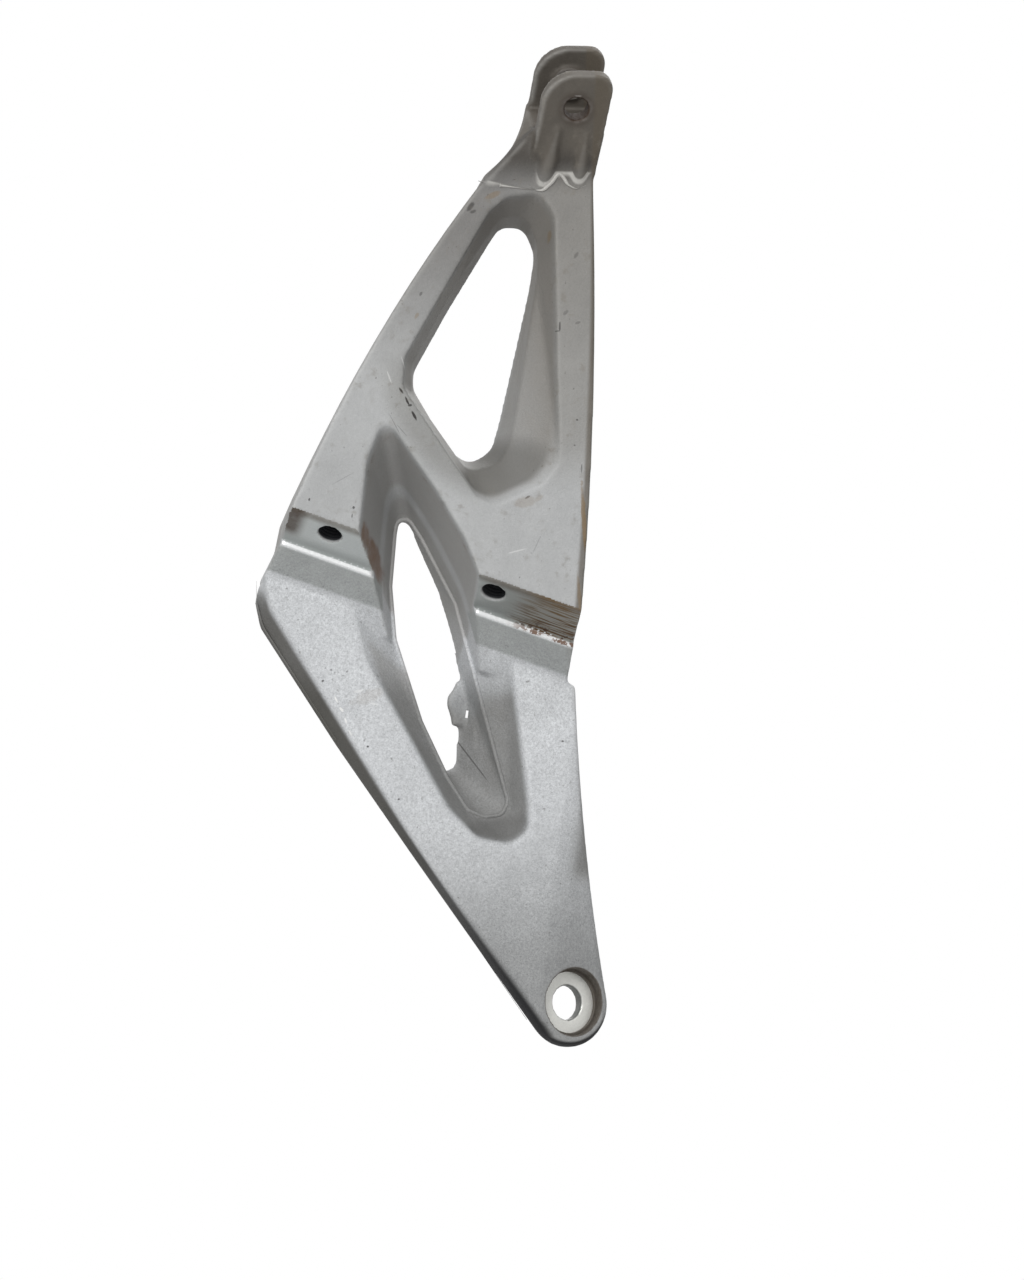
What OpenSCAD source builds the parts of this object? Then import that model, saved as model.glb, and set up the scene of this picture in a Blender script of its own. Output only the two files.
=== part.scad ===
// Motorcycle footrest hanger, left side, one aluminium casting.
// The outline is drawn in the plane of the plate: x to the right, y up towards the clevis
// and z out of the visible face. The last step stands the casting up, visible face to -Y.
// The origin is the centre of the seat for the main bolt, in the eye at the lower tip.

/* [Main eye] */
// Diameter of the main bolt hole
bolt_hole_d = 11.5; // [8:0.5:13]
// Diameter of the machined seat round the bolt hole
seat_d = 20.6; // [18:0.2:22]
// Diameter of the cast recess above the seat
recess_d = 22.4; // [22.2:0.2:24]
// Depth of the recess down to the seat
recess_depth = 3.4; // [2:0.2:5]
// Wall under the seat
eye_wall = 4; // [4:0.5:6]
// Diameter of the spot face behind the wall
rear_seat_d = 21; // [19:0.5:23]
// Outer diameter of the eye
eye_d = 30; // [28:0.5:32]
// Angle that the eye is turned to the right of the plate
eye_turn = 28; // [22:1:32]

/* [Plates] */
// Distance of the plates' outer corner to the left of the eye
corner_reach = 105.8; // [104:0.2:108]
// Height of the lower plate's face above the seat of the eye
lower_face = 10; // [9:0.5:12]
// Height of the upper plate's face above the lower plate's
face_step = 25; // [23:0.5:27]
// Depth of the legs of the lower plate
lower_depth = 24; // [21:0.5:26]
// Depth of the legs of the upper plate
upper_depth = 25; // [22:0.5:27]
// Thickness of the plates over the hollows in the back
skin = 6; // [5:0.5:8]

/* [Step] */
// Angle of the step across the legs
step_turn = 19; // [17:0.5:21]
// Distance from the eye to the upper edge of the step
step_edge = 122; // [120:0.5:124]
// Angle between the hole face and the bore direction of the plates
hole_face_lean = 28; // [24:1:32]
// Height of the machined hole face
hole_face_height = 18.9; // [17:0.1:20]
// Width of the narrow ledge at the foot of the hole face
ledge_width = 1.9; // [1.2:0.1:2.6]
// Length of the ramp below the ledge, along the plate
ramp_run = 10.2; // [9:0.2:12]
// Diameter of the two threaded holes
thread_d = 8; // [6:0.5:9]
// Depth of the two threaded holes
thread_depth = 22; // [16:1:24]
// Distance between the two threaded holes
thread_pitch = 58; // [55:0.5:60]
// Distance of the threaded holes from the upper edge of the hole face
thread_drop = 7.4; // [6.5:0.1:8.5]

/* [Clevis] */
// Angle that the clevis leans forward of the plate
clevis_lean = 30; // [26:1:34]
// Height of the pin above the eye
pin_height = 296; // [292:0.5:300]
// Diameter of the pin hole
pin_d = 8; // [6:0.5:10]
// Width of the ears
ear_width = 24; // [22:0.5:26]
// Thickness of the front ear
front_ear = 6; // [5:0.5:7]
// Thickness of the rear ear
rear_ear = 5; // [4:0.5:6]
// Gap between the ears
clevis_gap = 20; // [19:0.5:23]
// Height of the pin above the floor of the gap
pin_above_floor = 9.5; // [8.5:0.5:11]
// Diameter of the bosses round the pin hole, inside the ears
boss_d = 12; // [11:0.5:14]
// Height of those bosses
boss_h = 1.5; // [1:0.5:2]

/* [Hidden] */

// The finish of the casting
metal = "silver";
// Thickness of the thin sheets that a tapered body is spanned between
sheet = 0.02;
// Length that a cut runs on past the surface it leaves by
over = 1;
// Length that clears the casting in any direction
clear = 20;

// Levels along the bore direction of the plates
lower_z = lower_face;
upper_z = lower_face + face_step;
lower_back = lower_z - lower_depth;
upper_back = upper_z - upper_depth;
lower_rim_z = 0;
lower_bend_z = lower_z - 2;
upper_rim_z = upper_z - 12;

// Outer corner of the plates, and the left end of the upper plate's edge above it
corner_x = -corner_reach;
edge_end_x = corner_x + 7.3;

// Height of the narrower seat below the cast recess
seat_step = 1;

// Small step in the back where the plates meet, and the rise from there to the upper plate's back
back_step = 1;
back_rise_start = 131;
back_rise_end = 156;
// Length of the ramp that runs on inside the lower plate
ramp_sunk = 6;
// Ends of the step's profile along the step
step_span = [-200, 100];

// Corners of the step's profile, as distance up the plate and level
hole_face_foot = [
    step_edge - hole_face_height * sin(hole_face_lean),
    upper_z - hole_face_height * cos(hole_face_lean)
];
ledge_edge = [
    hole_face_foot[0] - ledge_width * cos(hole_face_lean),
    hole_face_foot[1] + ledge_width * sin(hole_face_lean)
];
ramp_foot = [ledge_edge[0] - ramp_run, lower_z];

// Threaded holes, as distance along the step, up the plate and level
thread_mid = -99.5;
thread_up = step_edge - thread_drop * sin(hole_face_lean);
thread_z = upper_z - thread_drop * cos(hole_face_lean);

// Width of the narrow ledge round the rim of that window
rim_ledge = 0.4;

// Lug and slot on the thin wall at the back of the window between the lower legs
lug_outline = [
    [-34, 109.2], [-36.4, 109.2], [-37.6, 106.6], [-39.4, 104.1], [-39.8, 101.4], [-38.6, 98.1], [-38, 94],
    [-34, 94]
];
lug_h = 2.5;
slot_at = [-32.8, 98.2];
slot_w = 0.9;
slot_l = 2.8;

// Clevis, measured from the pin centre on the front ear's outer face
pin_x = -1.8;
pin_z = upper_z + 10.6;
ear_r = ear_width / 2;
ear_corner_r = 5.5;
ear_foot = [[7.5, -24], [-15, -24]];
clevis_depth = front_ear + clevis_gap + rear_ear;

// Slab under the ears that the root spans to, and the round flare on the root's left
root_x = [-14, 10.3];
root_h = 1;
root_set_back = 4;
root_sunk = 0.2;
flare_at = [-54.4, 307.3];
flare_r = 39;

// Arc through n + 1 points
function arc(centre, r, from, to, n) = [
    for (i = [0 : n]) let (a = from + (to - from) * i / n) centre + r * [cos(a), sin(a)]
];

// Plan of an outline with its corners rounded, set in all round by a distance
module rounded(points, r, inset = 0) {
    offset(r = r, $fn = 32) offset(delta = -r - inset) polygon(points);
}

// Thin sheet of an outline at one level, for the tapered pockets
module sheet_at(points, r, z, inset = 0) {
    translate([0, 0, z]) linear_extrude(sheet) rounded(points, r, inset);
}

// Frame of the eye, turned to the right of the plate
module at_eye() {
    rotate([0, eye_turn, 0]) children();
}

// Frame of the step: x along the edge, y up the plate
module at_step() {
    rotate([0, 0, -step_turn]) children();
}

// Frame of the clevis: origin at the pin on the front ear, z along the pin
module at_clevis() {
    translate([pin_x, pin_height, pin_z]) rotate([clevis_lean, 0, 0]) children();
}

// Long curved edges of the upper plate: radius, centre and the angles each spans
right_edge_r = 1230;
right_edge_at = [5.6 - right_edge_r, 235];
right_edge_span = [-7, 1.6];
left_edge_r = 520;
left_edge_at = [383, -39.7];
left_edge_span = [142.9, 157.3];

// Top edge of the upper plate, inside the root of the clevis
plate_top = 278;
plate_top_x = [-10, 5];

// Outline of the upper plate and the step
upper_outline = concat(
    arc(right_edge_at, right_edge_r, right_edge_span[0], right_edge_span[1], 14),
    [[plate_top_x[1], plate_top], [plate_top_x[0], plate_top]],
    arc(left_edge_at, left_edge_r, left_edge_span[0], left_edge_span[1], 12),
    [[edge_end_x, 152], [corner_x + 2.2, 141.8], [corner_x + 5.8, 130], [-80, 98]]
);

// Part of that outline which the root of the clevis grows from
root_outline = [
    [plate_top_x[1], 274], [4.8, plate_top - 0.5], [plate_top_x[0], plate_top - 0.5],
    [-31, 274], [-35.8, 267.6]
];

// Outline of the window between the upper legs, at the face, the rim and the back
window_1_face = [
    [-24, 268], [-13, 269.5], [-8, 262], [-7, 206], [-6.5, 178], [-12, 171],
    [-28, 163.5], [-34, 166], [-59, 203], [-58.5, 213], [-38, 249], [-30, 263]
];
window_1_rim = [
    [-25, 263], [-16, 263], [-12.8, 254], [-12.8, 242], [-21.5, 188], [-26, 179],
    [-36, 176], [-55, 203], [-55, 212], [-40, 240]
];
window_1_back = [
    [-24, 261], [-16, 260.5], [-12.6, 252], [-13.5, 246], [-20, 222], [-24.5, 197],
    [-27.5, 186], [-34.5, 181], [-41, 185.5], [-53.2, 206], [-53, 211], [-42, 231]
];

// Outline of the window between the lower legs, at the faces, the rim and the back
window_2_top = [
    [-66, 191.5], [-62, 189], [-48.5, 170], [-38, 152.5], [-33.5, 141], [-33.5, 122],
    [-70, 122], [-74, 152], [-71, 179]
];
window_2_throat = [
    [-57.5, 166.5], [-54.5, 165], [-49, 156.5], [-37.3, 134], [-28.2, 101],
    [-58, 100], [-60.5, 140], [-59, 158]
];
window_2_face = [
    [-75, 138], [-69, 114], [-57.5, 93], [-41.5, 64], [-31, 53.5], [-20, 51.5],
    [-13.5, 56], [-13.5, 66], [-19.3, 113], [-24, 140]
];
window_2_rim = [
    [-59.5, 128], [-59, 122], [-56, 108], [-50, 94], [-41, 75], [-34, 64],
    [-28, 61.5], [-21.5, 62.5], [-19.5, 67], [-23.5, 82], [-34.3, 117], [-38, 136]
];
window_2_inner = [
    [-57.5, 166.5], [-54.5, 165], [-49, 156.5], [-37.3, 134], [-34.3, 117], [-23.5, 82], [-19.5, 67],
    [-21.5, 62.5], [-28, 61.5], [-34, 64], [-41, 75], [-50, 94], [-59, 122], [-60.5, 140], [-59, 158]
];
window_2_back = [
    [-56.5, 165.5], [-53.5, 162.5], [-44, 141.5], [-39.2, 126], [-36.3, 113], [-36.3, 107],
    [-37.2, 94], [-38.6, 79],
    [-40, 76], [-51, 94], [-57, 109], [-60, 123], [-61, 140], [-59, 158]
];

// Outline of the lower plate at its face, its rim and its back
lower_face_outline = [
    [corner_x + 2.2, 141.8], [corner_x + 4.8, 131.5], [-77.5, 94], [-49, 47.5], [-40, 47],
    [1.2, 92], [2, 106]
];
lower_bend_outline = [[4.6, 60], [-20, 45], [-20, 66]];
lower_rim_outline = [
    [corner_x + 1.8, 142], [corner_x, 134], [corner_x + 1.8, 125.5], [-78, 85.5], [-50, 45.5], [-40, 45],
    [4.5, 61], [2.5, 106]
];
lower_back_outline = [
    [corner_x + 4.3, 141], [corner_x + 2.3, 134], [corner_x + 3.8, 126.5], [-75.5, 86.5], [-46.5, 49],
    [-38, 48], [3, 60], [1.5, 106]
];

// Outlines of the hollows in the back
tip_hollow = [[-37, 45], [-7, 46], [0, 33], [-6, 17], [-15, 19]];
left_leg_hollow = [[-93, 135], [-70, 128], [-65, 112], [-51, 80], [-57, 76], [-93, 129]];
right_leg_hollow = [[-19.5, 113], [-3, 107.5], [-3, 62], [-8, 60]];
inner_leg_hollow = [[-32.5, 111], [-26.5, 111], [-17.5, 75], [-22.5, 71], [-32.5, 87]];
left_post_hollow = [[-82, 186], [-68, 200], [-60, 219], [-47, 241], [-49, 247], [-62, 225], [-76, 201]];
right_post_hollow = [[-6, 256], [0.5, 256], [0.5, 184], [-9, 180], [-13, 192], [-8, 225]];
web_hollow = [[-11, 165], [-1, 169], [-2.5, 141], [-10, 144]];

// Depth of the shallow hollow beside the window, and drop of the others' roofs under the skin
inner_leg_depth = 3.5;
tip_drop = 4;
right_post_drop = 2;

// Curve that hollows the right edge of the lower plate
waist_r = 636;
waist_at = [1.4, 126];

// Body of the lower plate: legs, web and eye
module lower_body() {
    difference() {
        hull() {
            sheet_at(lower_face_outline, 2, lower_z - sheet);
            sheet_at(lower_bend_outline, 0.5, lower_bend_z);
            sheet_at(lower_rim_outline, 3, lower_rim_z);
            sheet_at(lower_back_outline, 3, lower_back);
            at_eye() translate([0, 0, -eye_wall])
                cylinder(d = eye_d - 2, h = eye_wall + recess_depth, $fn = 48);
            at_eye() translate([0, 0, 2 - eye_wall])
                cylinder(d = eye_d, h = eye_wall + recess_depth - 4, $fn = 48);
        }
        translate([waist_at[0] + waist_r, waist_at[1], lower_back - over])
            cylinder(r = waist_r, h = lower_depth + 2 * over, $fn = 250);
        hull() {
            sheet_at(window_2_face, 5, lower_z);
            sheet_at(window_2_rim, 4, lower_rim_z);
        }
    }
}

// Body of the upper plate, down to the foot of the ramp
module upper_body() {
    ramp_slope = (ledge_edge[1] - ramp_foot[1]) / ramp_run;
    toe = ramp_foot - ramp_sunk * [1, ramp_slope];
    back = lower_back + back_step;
    profile = [
        [pin_height, upper_z], [step_edge, upper_z], hole_face_foot, ledge_edge, toe, [toe[0], back],
        [back_rise_start, back], [back_rise_end, upper_back], [pin_height, upper_back]
    ];
    difference() {
        intersection() {
            translate([0, 0, lower_back - over])
                linear_extrude(face_step + lower_depth + 2 * over) polygon(upper_outline);
            at_step() rotate([90, 0, 90]) translate([0, 0, step_span[0]])
                linear_extrude(step_span[1] - step_span[0]) polygon(profile);
        }
        hull() {
            sheet_at(window_2_top, 3, upper_z);
            sheet_at(window_2_throat, 3, lower_rim_z);
        }
    }
}

// Window between the upper legs, in two tapers
module window_1() {
    hull() {
        sheet_at(window_1_face, 5, upper_z);
        sheet_at(window_1_rim, 6, upper_rim_z);
    }
    hull() {
        sheet_at(window_1_rim, 6, upper_rim_z);
        sheet_at(window_1_back, 5, upper_back - over);
    }
}

// Rear half of the window between the lower legs, behind its rim
module window_2_rear() {
    difference() {
        hull() {
            sheet_at(window_2_inner, 3, lower_rim_z, rim_ledge);
            sheet_at(window_2_back, 3, lower_back - over);
        }
        translate([0, 0, lower_back]) linear_extrude(lug_h) polygon(lug_outline);
    }
    translate([slot_at[0], slot_at[1], lower_back - over])
        linear_extrude(lower_depth) square([slot_w, slot_l], center = true);
}

// Outline of one ear, round about the pin on the left and squarer on the right
module ear(thickness) {
    corner_at = ear_r - ear_corner_r;
    linear_extrude(thickness) polygon(concat(
        arc([0, 0], ear_r, 180, 90, 12),
        arc([corner_at, corner_at], ear_corner_r, 90, 0, 8),
        ear_foot
    ));
}

// Cone-shaped rib that stiffens the front ear
module ear_rib(tip, foot, tip_r, foot_r) {
    run = foot - tip;
    translate([tip[0], tip[1], -tip_r / 2]) rotate([90, 0, atan2(run[0], -run[1])])
        cylinder(h = norm(run), r1 = tip_r, r2 = foot_r, $fn = 40);
}

// Clevis: two ears on a root that grows out of the upper plate
module clevis() {
    difference() {
        hull() {
            translate([0, 0, upper_back + root_sunk])
                linear_extrude(upper_depth - 2 * root_sunk) polygon(root_outline);
            at_clevis() translate([root_x[0], -pin_above_floor - root_h, -clevis_depth])
                cube([root_x[1] - root_x[0], root_h, clevis_depth - root_set_back]);
        }
        translate([flare_at[0], flare_at[1], upper_back - clear])
            cylinder(r = flare_r, h = upper_depth + clevis_depth + clear, $fn = 120);
    }
    at_clevis() {
        translate([0, 0, -front_ear]) ear(front_ear);
        translate([0, 0, -clevis_depth]) ear(rear_ear);
        translate([0, 0, rear_ear - clevis_depth]) cylinder(d = boss_d, h = boss_h, $fn = 48);
        translate([0, 0, -front_ear - boss_h]) cylinder(d = boss_d, h = boss_h, $fn = 48);
        ear_rib([-5.7, -6.5], [-10.6, -28], 1.6, 4.6);
        ear_rib([3.8, -8.5], [1.4, -28], 1.4, 4);
    }
}

// Bolt hole, seat, recess and rear spot face in the eye
module eye_cuts() {
    at_eye() {
        translate([0, 0, -clear]) cylinder(d = bolt_hole_d, h = clear + over, $fn = 64);
        cylinder(d = seat_d, h = clear, $fn = 64);
        translate([0, 0, seat_step]) cylinder(d = recess_d, h = clear, $fn = 64);
        translate([0, 0, -eye_wall - clear]) cylinder(d = rear_seat_d, h = clear, $fn = 64);
    }
}

// Threaded holes, square to the hole face
module threaded_holes() {
    for (side = [-1, 1])
        at_step() translate([thread_mid + side * thread_pitch / 2, thread_up, thread_z])
            rotate([-90 - hole_face_lean, 0, 0]) translate([0, 0, -over])
                cylinder(d = thread_d, h = thread_depth + over, $fn = 48);
}

// Hollow cut into the back, up to a level
module hollow(points, bottom, top) {
    translate([0, 0, bottom]) linear_extrude(top - bottom) rounded(points, 2.5);
}

// Hollows that keep the sections of the casting even
module hollows() {
    lower_top = lower_z - skin;
    upper_top = upper_z - skin;
    rotate([0, eye_turn / 2, 0]) hollow(tip_hollow, lower_back - clear, lower_top - tip_drop);
    hollow(left_leg_hollow, lower_back - over, lower_top);
    hollow(right_leg_hollow, lower_back - over, lower_top);
    hollow(inner_leg_hollow, lower_back - over, lower_back + inner_leg_depth);
    hollow(left_post_hollow, lower_back - over, upper_top);
    hollow(right_post_hollow, lower_back - over, upper_rim_z - right_post_drop);
    hollow(web_hollow, lower_back - over, upper_top);
}

module hanger_casting() {
    color(metal) rotate([90, 0, 0]) difference() {
        union() {
            lower_body();
            upper_body();
            clevis();
        }
        window_1();
        window_2_rear();
        hollows();
        eye_cuts();
        threaded_holes();
        at_clevis() translate([0, 0, -clevis_depth - over])
            cylinder(d = pin_d, h = clevis_depth + 2 * over, $fn = 48);
    }
}

hanger_casting();
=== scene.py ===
"""Cast footrest hanger: the casting with its rounded edges, machined faces, wear and stains, and a plain stage."""

import math

import bmesh
import bpy
import numpy as np
from mathutils import Matrix, Vector
from mathutils.kdtree import KDTree


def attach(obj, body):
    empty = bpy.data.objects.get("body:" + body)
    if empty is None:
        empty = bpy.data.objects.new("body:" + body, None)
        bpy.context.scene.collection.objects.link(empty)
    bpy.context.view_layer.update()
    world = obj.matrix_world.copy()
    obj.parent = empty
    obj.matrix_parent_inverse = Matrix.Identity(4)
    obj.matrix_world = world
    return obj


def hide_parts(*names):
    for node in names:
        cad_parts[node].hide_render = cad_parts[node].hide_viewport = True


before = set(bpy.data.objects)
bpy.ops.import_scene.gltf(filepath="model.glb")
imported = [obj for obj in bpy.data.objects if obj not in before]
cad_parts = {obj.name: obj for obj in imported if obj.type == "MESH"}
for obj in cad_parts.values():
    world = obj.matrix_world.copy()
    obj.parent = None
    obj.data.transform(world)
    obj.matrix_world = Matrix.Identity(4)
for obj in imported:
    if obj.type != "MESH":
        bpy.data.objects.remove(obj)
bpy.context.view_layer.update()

bl_info = {
    "name": "Footrest hanger",
    "version": (1, 0, 0),
    "blender": (4, 5, 0),
    "location": "3D View > Sidebar > Hanger",
    "description": "Builds the cast footrest hanger and its stage",
    "category": "Add Mesh",
}

NODE = "hanger_casting"
PIECE = "casting"

# Sizes of the casting, in millimetres, in the plane of its plates: x right, y up and z out of the visible face
EYE_TURN = 28.0
SEAT_R = 10.3
RECESS_R = 11.2
BOLT_R = 5.75
REAR_SEAT_R = 10.5
EYE_WALL = 4.0
UPPER_FACE = 35.0
LOWER_FACE = 10.0
STEP_TURN = 19.0
STEP_EDGE = 122.0
STEP_LEAN = 28.0
STEP_HEIGHT = 18.9
THREAD_R = 4.0
THREAD_DEPTH = 22.0
THREAD_ALONG = (-128.5, -70.5)
THREAD_DROP = 7.4
PIN = (-1.8, 296.0, 45.6)
PIN_R = 4.0
CLEVIS_LEAN = 30.0
CLEVIS_DEPTH = 31.0

# Paths of the raised lines: the parting line along the left flank, and the edge above the plate round the ribs' feet
PARTING = [(-105.4, 141), (-105.3, 133.3), (-103.2, 125.5), (-78.2, 87.4), (-50, 46.3), (-14, -6)]
TOP_EDGE = [(-33.8, 273), (-26.5, 271.6), (-18, 270.6), (-14.4, 270.2)]
RIB_FEET = [
    (-16.4, 271.4), (-14.4, 270.2), (-12.1, 270.1), (-9, 272.9), (-7.4, 275.2), (-6.4, 276), (-5.4, 275.1),
    (-3.7, 272.3), (-0.7, 270.6), (2.4, 272.1),
]
# A point inside the window between the lower legs, and the slot in the thin wall behind its rim
WINDOW = (-48, 110)
SLOT = (-32.8, 98.2)
# Section, as x and z, and span in y of the wall's thinnest part
WALL = [(-33.7, -13.9), (-33.7, -12.95), (-30.9, -9.15), (-30, -9.9), (-30, -13.9)]
WALL_SPAN = (84, 108)

# Marks on the visible faces: x, y, half length, half width, turn in degrees and strength
SCUFFS = [
    (-36.5, 264.2, 2.2, 1.1, 55, 0.75), (-35.6, 262.6, 1.4, 0.7, 20, 0.6), (-59.6, 201.8, 1.5, 0.5, -55, 1.0),
    (-57.6, 198.4, 1.9, 0.45, -66, 1.0), (-56.6, 196.9, 0.9, 0.5, 10, 0.9), (-55.2, 193.4, 1.9, 0.5, -62, 1.0),
    (-6.4, 224.2, 1.9, 0.4, 88, 0.75), (-7.1, 222.7, 0.9, 0.3, 0, 0.6), (-0.8, 248.4, 1.5, 0.6, 60, 0.4),
    (-4.4, 229, 1.4, 0.7, 40, 0.35), (-0.2, 225.6, 1.2, 0.5, 20, 0.35), (-53, 234.6, 0.9, 0.5, 60, 0.55),
    (-90.2, 164.8, 0.6, 0.35, 80, 0.8), (-75.4, 162.3, 0.6, 0.45, 80, 0.8), (-75.9, 159.6, 0.9, 0.3, 85, 0.6),
    (-17.2, 166.6, 1.2, 0.4, 30, 0.6), (-83.5, 106.8, 0.7, 0.5, 20, 0.85), (-80.8, 110.5, 0.45, 0.35, 0, 0.7),
    (-68.4, 84.8, 0.45, 0.4, 0, 0.9), (-58, 67.2, 0.45, 0.4, 0, 0.9), (-2.7, 87.2, 0.5, 0.4, 0, 0.8),
    (-47.5, 40.4, 0.4, 0.3, 0, 0.6), (-61.6, 190.2, 4.5, 0.22, -62, 0.35), (-59.5, 188.6, 3.2, 0.2, -48, 0.3),
    (-30.5, 177.5, 6, 0.25, -40, 0.3), (-79, 172, 5, 0.22, 30, 0.22), (-14, 151, 4.5, 0.2, 65, 0.25),
    (0.9, 176, 2.2, 0.35, 88, 0.5), (-0.6, 192.8, 0.5, 0.4, 0, 0.7), (-1.4, 184.2, 0.4, 0.35, 0, 0.6),
]
CHIPS = [
    (-79.1, 100.6, 1.6, 0.45, -62, 0.9), (-77.3, 97.2, 1.1, 0.5, -50, 0.8), (-75.8, 93.4, 1.5, 0.4, -70, 0.85),
    (-74.3, 89.4, 1.2, 0.35, -60, 0.7), (-71.5, 103.4, 2.4, 0.5, 12, 0.4), (-66.4, 99.2, 2, 0.4, -10, 0.35),
    (-63.5, 206, 3.2, 0.3, -70, 0.3), (-59, 211.5, 2.6, 0.25, -70, 0.35), (-20.5, 148.5, 4, 0.3, 15, 0.3),
    (-36, 187.5, 7, 0.25, -52, 0.35), (-33.3, 96.4, 0.5, 0.4, 0, 0.8),
]
RUST = [
    (-17.8, 165, 5, 2.2, 12, 0.25), (-13.5, 166.2, 2.2, 1, 35, 0.25), (-9.6, 255, 2.6, 0.8, 80, 0.5),
    (1.6, 160, 14, 0.9, 93, 0.75), (0.2, 133, 9, 0.8, 95, 0.5), (-54.5, 227, 1.6, 0.7, 62, 0.4),
    (-29, 268.2, 3.5, 1.2, 25, 0.45), (-68.5, 101.5, 7, 2.6, 20, 0.15), (-104.5, 132, 6, 1.2, 96, 0.35),
]


def sin(degrees):
    return math.sin(math.radians(degrees))


def cos(degrees):
    return math.cos(math.radians(degrees))


def srgb(red, green, blue):
    """A colour as a picture stores it, 0 to 255, as the linear colour that a material takes."""
    def linear(level):
        level /= 255
        return level / 12.92 if level <= 0.04045 else ((level + 0.055) / 1.055) ** 2.4

    return linear(red), linear(green), linear(blue), 1.0


# Turns millimetres in the plane of the plates into metres in the part's own frame
STAND = Matrix(((0.001, 0, 0, 0), (0, 0, -0.001, 0), (0, 0.001, 0, 0), (0, 0, 0, 1)))
# Frames of the features, all in the plane of the plates
EYE = Matrix.Rotation(math.radians(EYE_TURN), 4, "Y")
STEP = Matrix.Rotation(math.radians(-STEP_TURN), 4, "Z")
CLEVIS = Matrix.Translation(PIN) @ Matrix.Rotation(math.radians(CLEVIS_LEAN), 4, "X")
# The machined face of the step: x along it, y down it and z out of it
STEP_FACE = (
    STEP
    @ Matrix.Translation((0, STEP_EDGE, UPPER_FACE))
    @ Matrix(((1, 0, 0, 0), (0, -sin(STEP_LEAN), -cos(STEP_LEAN), 0), (0, -cos(STEP_LEAN), sin(STEP_LEAN), 0), (0, 0, 0, 1)))
)


# ---------------------------------------------------------------- meshes


def new_object(name, mesh):
    made = bpy.data.objects.new(name, mesh)
    bpy.context.scene.collection.objects.link(made)
    return made


def mesh_from(bm, name):
    mesh = bpy.data.meshes.new(name)
    bmesh.ops.recalc_face_normals(bm, faces=bm.faces)
    bm.to_mesh(mesh)
    bm.free()
    return mesh


def turned(name, profile, place, steps=96):
    """A tool turned about its own z axis: the profile is (radius, height) pairs from axis to axis, in millimetres."""
    bm = bmesh.new()
    rings = []
    for radius, height in profile:
        if radius == 0:
            rings.append([bm.verts.new((0, 0, height))])
        else:
            rings.append(
                [
                    bm.verts.new((radius * math.cos(a), radius * math.sin(a), height))
                    for a in (2 * math.pi * i / steps for i in range(steps))
                ]
            )
    for low, high in zip(rings, rings[1:]):
        for i in range(steps):
            j = (i + 1) % steps
            corners = [low[i % len(low)], low[j % len(low)], high[j % len(high)], high[i % len(high)]]
            corners = list(dict.fromkeys(corners))
            bm.faces.new(corners)
    bm.transform(STAND @ place)
    return new_object(name, mesh_from(bm, name))


def block(name, low, high, place):
    """A block between two corners, in millimetres."""
    bm = bmesh.new()
    bmesh.ops.create_cube(bm, size=1)
    low, high = Vector(low), Vector(high)
    size = high - low
    bm.transform(STAND @ place @ Matrix.Translation((low + high) / 2) @ Matrix.Diagonal((*size, 1)))
    return new_object(name, mesh_from(bm, name))


def prism(name, outline, span):
    """A prism along y: the outline is (x, z) pairs in the plane of the plates."""
    bm = bmesh.new()
    near, far = ([bm.verts.new((x, y, z)) for x, z in outline] for y in span)
    bm.faces.new(near)
    bm.faces.new(far[::-1])
    for i in range(len(near)):
        bm.faces.new((near[i - 1], far[i - 1], far[i], near[i]))
    bm.transform(STAND)
    return new_object(name, mesh_from(bm, name))


def rounded(points, radius, steps, closed=True):
    """The outline with each corner replaced by an arc."""
    made = []
    count = len(points)
    for i, here in enumerate(points):
        if not closed and i in (0, count - 1):
            made.append(Vector(here))
            continue
        here = Vector(here)
        before, after = Vector(points[i - 1]) - here, Vector(points[(i + 1) % count]) - here
        bend = math.pi - before.angle(after)
        if bend < 0.02:
            made.append(here)
            continue
        cut = min(radius * math.tan(bend / 2), 0.45 * before.length, 0.45 * after.length)
        start, end = here + before.normalized() * cut, here + after.normalized() * cut
        for k in range(steps + 1):
            t = k / steps
            made.append(start * (1 - t) ** 2 + here * 2 * t * (1 - t) + end * t * t)
    return made


def bead(name, path, radius, closed, sides=10):
    """A round bead along a path of points, in millimetres in the plane of the plates."""
    bm = bmesh.new()
    count = len(path)
    rings = []
    for i, here in enumerate(path):
        before = path[i - 1] if closed or i else here
        after = path[(i + 1) % count] if closed or i < count - 1 else here
        along = (after - before).normalized()
        across = along.cross(Vector((0, 0, 1))).normalized()
        up = across.cross(along)
        thin = 1.0 if closed else max(0.15, min(1.0, 4 * i / count, 4 * (count - 1 - i) / count))
        rings.append(
            [
                bm.verts.new(here + thin * radius * (across * math.cos(a) + up * math.sin(a)))
                for a in (2 * math.pi * k / sides for k in range(sides))
            ]
        )
    pairs = list(zip(rings, rings[1:])) + ([(rings[-1], rings[0])] if closed else [])
    for low, high in pairs:
        for k in range(sides):
            j = (k + 1) % sides
            bm.faces.new((low[k], low[j], high[j], high[k]))
    if not closed:
        bm.faces.new(rings[0])
        bm.faces.new(rings[-1])
    bm.transform(STAND)
    return new_object(name, mesh_from(bm, name))


def bake_modifiers(piece):
    """Replaces the piece's mesh by the one its modifiers make."""
    graph = bpy.context.evaluated_depsgraph_get()
    made = bpy.data.meshes.new_from_object(piece.evaluated_get(graph), depsgraph=graph)
    piece.modifiers.clear()
    old = piece.data
    piece.data = made
    bpy.data.meshes.remove(old)


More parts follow.
